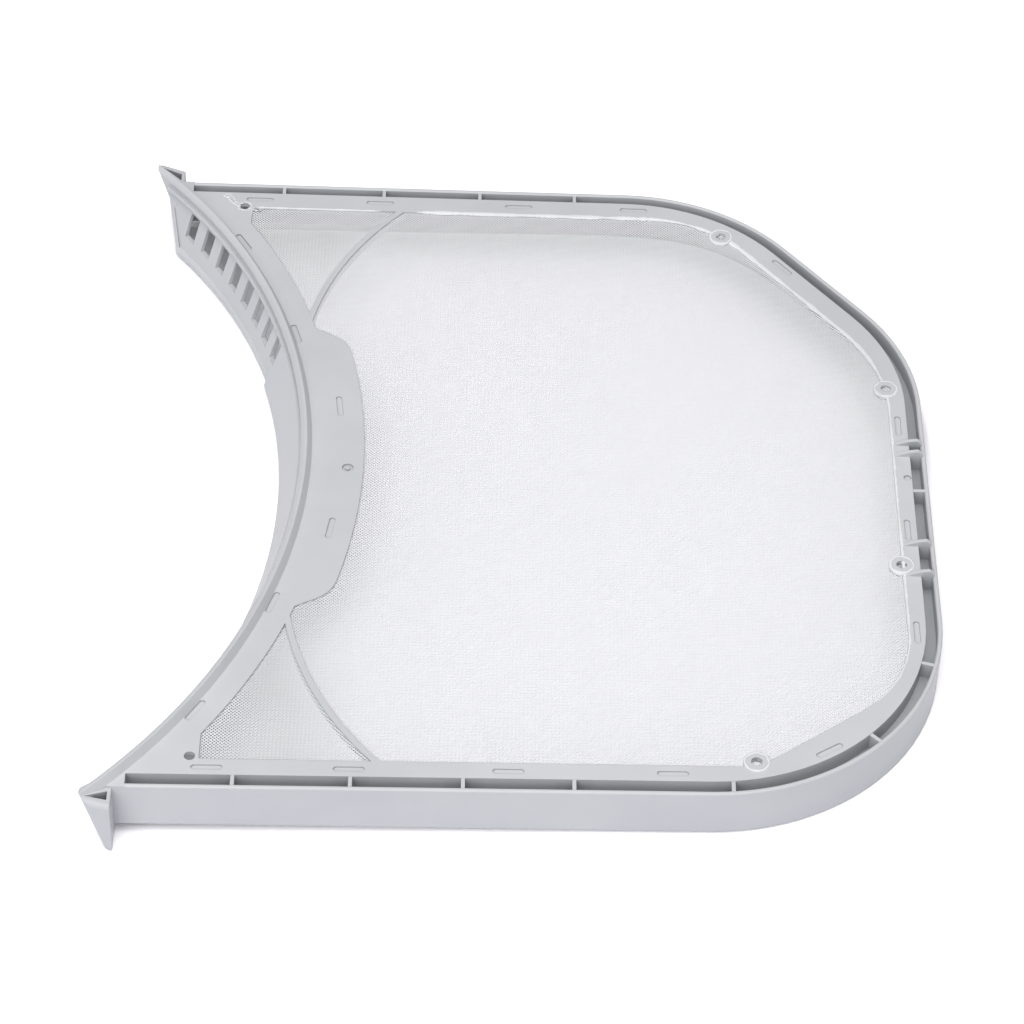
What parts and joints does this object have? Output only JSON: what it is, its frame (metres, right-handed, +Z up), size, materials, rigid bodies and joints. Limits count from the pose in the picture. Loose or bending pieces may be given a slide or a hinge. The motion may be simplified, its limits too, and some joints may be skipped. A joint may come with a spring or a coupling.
{
  "type": "tumble dryer lint filter",
  "caption": "Flat moulded frame with a ribbed rim channel and a concave vented handle edge, carrying a fine woven screen that catches lint in a dryer's air duct.",
  "frame": {"origin": "middle of the bounding box in plan, level with the tips of the two claws", "axes": "+X from the concave handle to the end that goes into the slot first, +Y to the far side in the picture, +Z up through the face with the channel and flange"},
  "size_m": [0.3088, 0.3544, 0.0273],
  "materials": {
    "frame_plastic": "light grey injection moulding with a fine satin texture",
    "screen_weave": "fine plain weave of white plastic thread, partly see-through"
  },
  "bodies": {
    "root": {"filter_frame": "frame_plastic", "lint_screen": "screen_weave"}
  },
  "joints": []
}
